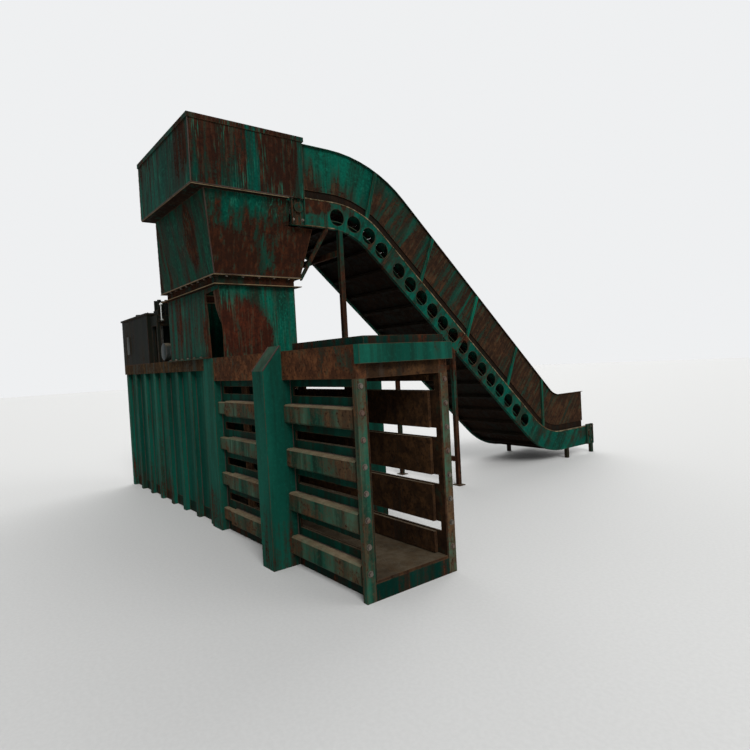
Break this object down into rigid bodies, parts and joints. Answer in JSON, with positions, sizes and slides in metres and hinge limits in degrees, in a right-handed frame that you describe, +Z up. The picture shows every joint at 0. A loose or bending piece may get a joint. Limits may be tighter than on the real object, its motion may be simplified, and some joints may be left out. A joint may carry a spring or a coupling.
{
  "type": "recycling baler",
  "caption": "Horizontal baling press with a ribbed channel, a tall flared charge hopper, an inclined slat feed conveyor and a rear power unit.",
  "frame": {"origin": "on the floor under the centre of the charge chute, on the centre plane of the press channel", "axes": "+X along the press to the bale outlet, +Y towards the conveyor's loading end, +Z up"},
  "size_m": [6.14, 6.3304, 3.918],
  "materials": {
    "frame_green": "worn dark teal-green paint with rust",
    "dark_green": "worn dark green paint with grime",
    "rusted_green": "green paint mostly lost to red-brown rust",
    "bare_rust": "brown rusted bare steel",
    "worn_steel": "worn bright steel",
    "chrome_rod": "polished",
    "black_steel": "dusty near-black paint",
    "grey_steel": "dusty grey paint"
  },
  "bodies": {
    "frame": {"base_frame": "dark_green", "channel_floor": "bare_rust", "near_wall": "dark_green", "far_wall": "dark_green", "near_ribs": "rusted_green", "far_ribs": "rusted_green", "near_rear_plate": "frame_green", "far_rear_plate": "frame_green", "near_top_beam": "rusted_green", "far_top_beam": "rusted_green", "corner_posts": "frame_green", "ceiling": "bare_rust", "outlet_cross_beam": "frame_green", "deck_cover": "dark_green", "near_clamp_post": "frame_green", "far_clamp_post": "frame_green", "rear_bulkhead": "dark_green", "rear_deck": "dark_green", "fixed_blade": "worn_steel", "cylinder_barrel": "black_steel", "cylinder_gland": "black_steel", "clamp_pins": "worn_steel", "clamp_cylinders": "black_steel", "chute_near_panel": "dark_green", "chute_far_panel": "dark_green", "chute_end_panels": "rusted_green", "hopper_band": "rusted_green", "flare_near_panel": "dark_green", "flare_far_panel": "rusted_green", "flare_exit_panel": "rusted_green", "flare_rear_panel": "rusted_green", "hopper_ledge": "bare_rust", "hopper_box": "rusted_green", "near_girder": "frame_green", "far_girder": "frame_green", "near_skirt": "rusted_green", "far_skirt": "rusted_green", "skirt_ribs": "frame_green", "conveyor_pan": "dark_green", "slat_chain": "bare_rust", "shaft_bearings": "black_steel", "conveyor_drive": "grey_steel", "conveyor_legs": "frame_green", "oil_tank": "black_steel", "tank_fittings": "grey_steel", "pump_motor": "grey_steel", "oil_pump": "black_steel", "valve_block": "black_steel", "oil_pipes": "worn_steel"},
    "ram": {"piston_rod": "chrome_rod", "ram": "bare_rust", "ram_blade": "worn_steel", "ram_follower": "bare_rust"},
    "near_clamp": {"near_clamp_plate": "bare_rust"},
    "far_clamp": {"far_clamp_plate": "bare_rust"},
    "near_push_rod": {"near_clamp_rod": "chrome_rod"},
    "far_push_rod": {"far_clamp_rod": "chrome_rod"},
    "head_drum": {"head_shaft": "worn_steel"},
    "tail_drum": {"tail_shaft": "worn_steel"},
    "lever": {"valve_lever": "worn_steel"}
  },
  "joints": [
    {"name": "ram_slide", "type": "slide", "parent": "frame", "child": "ram", "axis": [1, 0, 0], "range_m": [0, 1.54]},
    {"name": "near_clamp_swing", "type": "hinge", "parent": "frame", "child": "near_clamp", "pos_m": [0.96, -0.3085, 0.8], "axis": [0, 0, 1], "range_deg": [0, 3.5]},
    {"name": "far_clamp_swing", "type": "hinge", "parent": "frame", "child": "far_clamp", "pos_m": [0.96, 0.3085, 0.8], "axis": [0, 0, 1], "range_deg": [-3.5, 0]},
    {"name": "near_rod_slide", "type": "slide", "parent": "frame", "child": "near_push_rod", "axis": [0, 1, 0], "range_m": [0, 0.054]},
    {"name": "far_rod_slide", "type": "slide", "parent": "frame", "child": "far_push_rod", "axis": [0, -1, 0], "range_m": [0, 0.054]},
    {"name": "head_spin", "type": "hinge", "parent": "frame", "child": "head_drum", "pos_m": [0.407, 0.37, 3.21315], "axis": [1, 0, 0], "continuous": true},
    {"name": "tail_spin", "type": "hinge", "parent": "frame", "child": "tail_drum", "pos_m": [0.407, 5.44836, 0.31315], "axis": [1, 0, 0], "continuous": true},
    {"name": "lever_tilt", "type": "hinge", "parent": "frame", "child": "lever", "pos_m": [-1.31, -0.33, 2.287], "axis": [0, 1, 0], "range_deg": [-12, 12], "stiffness_Nm_per_rad": 3}
  ],
  "couplings": [
    {"joint": "far_clamp_swing", "follows": "near_clamp_swing", "ratio": -1},
    {"joint": "near_rod_slide", "follows": "near_clamp_swing", "m_per_rad": 0.875},
    {"joint": "far_rod_slide", "follows": "near_clamp_swing", "m_per_rad": 0.875},
    {"joint": "tail_spin", "follows": "head_spin", "ratio": 1}
  ]
}
